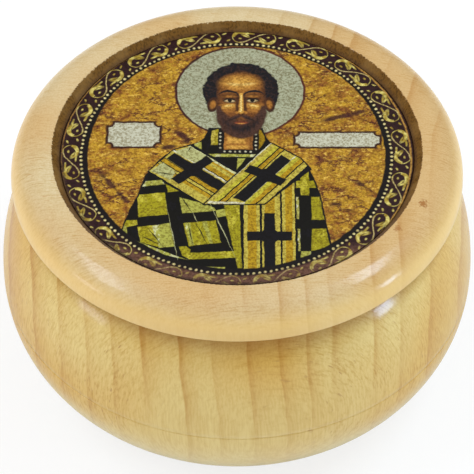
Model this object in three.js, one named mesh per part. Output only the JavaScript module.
// A turned beech incense box: a bowl, a lid that lifts off, and a round printed picture let into the lid.
// Millimetres, +Z up. The origin is the centre of the flat base, and the picture's foot points to -Y, the front.
import * as THREE from "three";

// Driving dimensions of the bowl
const BOWL_DIAMETER = 75; // across the belly
const BOWL_HEIGHT = 37; // base to the rim that the lid sits on
const BELLY_HEIGHT = 17.5; // base to the widest ring
const FOOT_RADIUS = 22.3; // where the lower curve would run flat into the base
const BASE_RADIUS = 24.2; // the flat that the box stands on
const BASE_EDGE_RADIUS = 24.4; // the same, at the top of its worn edge
const SHOULDER_RADIUS = 28.4; // where the upper curve runs flat into the rim
const MOUTH_RADIUS = 26.2;
const MOUTH_CHAMFER = 0.4;
const FLOOR_HEIGHT = 6; // thickness of wood under the incense
const COVE_WIDTH = 9; // the round between the inner wall and the floor
const COVE_HEIGHT = 8.5;
const SCRIBE_WIDTH = 0.5; // the turner's line round the belly
const SCRIBE_DEPTH = 0.18;

// Driving dimensions of the lid
const LID_DIAMETER = 70.2;
const LID_TOP = 42.6; // the whole box's height
const SEAT_GAP = 0.05; // between the lid's underside and the bowl's rim
const LIP_HEIGHT = 0.7; // underside to the lid's widest ring
const LIP_TUCK = 0.6; // how far the edge rounds in below that ring
const DOME_START_RADIUS = 30; // where the flat margin round the picture turns over
const SPIGOT_CLEARANCE = 0.2; // radial, between the lid's spigot and the mouth
const SPIGOT_LENGTH = 4.5;
const SPIGOT_WALL = 3.4;
const SPIGOT_CHAMFER = 0.5;
const PLATE_THICKNESS = 3.2; // wood between the recess and the hollow under it
const HOLLOW_FILLET = 1;

// Driving dimensions of the recess and its picture
const RECESS_RADIUS = 28.5; // at the lid's top
const RECESS_EDGE_BREAK = 0.15;
const BURNT_WALL_WIDTH = 1.05; // the sloping wall, seen from above
const BURNT_WALL_DEPTH = 1.35;
const PICTURE_RADIUS = 27.3;
const PICTURE_THICKNESS = 0.4;
const PICTURE_EDGE_BREAK = 0.1;
const PICTURE_DROP = 1.3; // the lid's top down to the picture's face
const GLUE_THICKNESS = 0.05; // the film that holds the picture to the recess floor
const RECESS_FLOOR = LID_TOP - PICTURE_DROP - PICTURE_THICKNESS - GLUE_THICKNESS;

const SEGMENTS = 72; // facets round each turned piece
const UPRIGHT = Math.PI / 2; // turns a lathe's +Y axis to +Z
const { radToDeg, degToRad } = THREE.MathUtils;

const beech = new THREE.MeshStandardMaterial({ color: 0xdcbd80, roughness: 0.42, metalness: 0 });
const print = new THREE.MeshStandardMaterial({ color: 0xb5822c, roughness: 0.5, metalness: 0 });

// A point of a turned profile: distance from the axis, then height.
const at = (radius, height) => new THREE.Vector2(radius, height);

// Points along an ellipse's arc about (radius, height), between two angles in degrees.
function arc(radius, height, width, rise, from, to, steps) {
  return Array.from({ length: steps + 1 }, (_, i) => {
    const angle = degToRad(from + ((to - from) * i) / steps);
    return at(radius + width * Math.cos(angle), height + rise * Math.sin(angle));
  });
}

// Spins a closed profile round the axis into one named solid.
function turned(name, profile, material) {
  const geometry = new THREE.LatheGeometry(profile, SEGMENTS).rotateX(UPRIGHT);
  const mesh = new THREE.Mesh(geometry, material);
  mesh.name = name;
  return mesh;
}

// The bowl, from the base out, up the belly, over the rim, and down the inside to the floor.
function bowl() {
  const belly = BOWL_DIAMETER / 2;
  const lowerWidth = belly - FOOT_RADIUS;
  const baseEdge = -radToDeg(Math.acos((BASE_EDGE_RADIUS - FOOT_RADIUS) / lowerWidth));
  const scribeAngle = radToDeg(SCRIBE_WIDTH / 2 / BELLY_HEIGHT);
  const upperRise = BOWL_HEIGHT - BELLY_HEIGHT;
  const coveCentre = MOUTH_RADIUS - COVE_WIDTH;
  return turned(
    "bowl",
    [
      at(0, 0),
      at(BASE_RADIUS, 0),
      ...arc(FOOT_RADIUS, BELLY_HEIGHT, lowerWidth, BELLY_HEIGHT, baseEdge, -scribeAngle, 13),
      at(belly - SCRIBE_DEPTH, BELLY_HEIGHT),
      ...arc(SHOULDER_RADIUS, BELLY_HEIGHT, belly - SHOULDER_RADIUS, upperRise, scribeAngle, 90, 13),
      at(MOUTH_RADIUS + MOUTH_CHAMFER, BOWL_HEIGHT),
      at(MOUTH_RADIUS, BOWL_HEIGHT - MOUTH_CHAMFER),
      ...arc(coveCentre, FLOOR_HEIGHT + COVE_HEIGHT, COVE_WIDTH, COVE_HEIGHT, 0, -90, 8),
      at(0, FLOOR_HEIGHT),
    ],
    beech,
  );
}

// The lid, from the hollow under it out over the spigot, round the lip and dome, and into the recess.
function lid() {
  const underside = BOWL_HEIGHT + SEAT_GAP;
  const widest = LID_DIAMETER / 2;
  const lip = underside + LIP_HEIGHT;
  const spigot = MOUTH_RADIUS - SPIGOT_CLEARANCE;
  const spigotEnd = underside - SPIGOT_LENGTH;
  const hollow = spigot - SPIGOT_WALL;
  const hollowTop = RECESS_FLOOR - PLATE_THICKNESS;
  const fillet = hollowTop - HOLLOW_FILLET;
  const recessFoot = RECESS_RADIUS - BURNT_WALL_WIDTH;
  return turned(
    "lid",
    [
      at(0, hollowTop),
      ...arc(hollow - HOLLOW_FILLET, fillet, HOLLOW_FILLET, HOLLOW_FILLET, 90, 0, 4),
      at(hollow, spigotEnd + SPIGOT_CHAMFER),
      at(hollow + SPIGOT_CHAMFER, spigotEnd),
      at(spigot - SPIGOT_CHAMFER, spigotEnd),
      at(spigot, spigotEnd + SPIGOT_CHAMFER),
      at(spigot, underside),
      ...arc(widest - LIP_TUCK, lip, LIP_TUCK, LIP_HEIGHT, -90, 0, 4),
      ...arc(DOME_START_RADIUS, lip, widest - DOME_START_RADIUS, LID_TOP - lip, 8, 90, 11),
      at(RECESS_RADIUS + RECESS_EDGE_BREAK, LID_TOP),
      at(RECESS_RADIUS, LID_TOP - RECESS_EDGE_BREAK),
      at(recessFoot, LID_TOP - BURNT_WALL_DEPTH),
      at(recessFoot, RECESS_FLOOR),
      at(0, RECESS_FLOOR),
    ],
    beech,
  );
}

// The printed disc, glued to the recess floor below the lid's rim.
function picture() {
  const back = RECESS_FLOOR + GLUE_THICKNESS;
  const face = back + PICTURE_THICKNESS;
  return turned(
    "picture_disc",
    [
      at(0, back),
      at(PICTURE_RADIUS, back),
      at(PICTURE_RADIUS, face - PICTURE_EDGE_BREAK),
      at(PICTURE_RADIUS - PICTURE_EDGE_BREAK, face),
      at(0, face),
    ],
    print,
  );
}

const incenseBox = new THREE.Group();
incenseBox.add(bowl(), lid(), picture());

export default incenseBox;
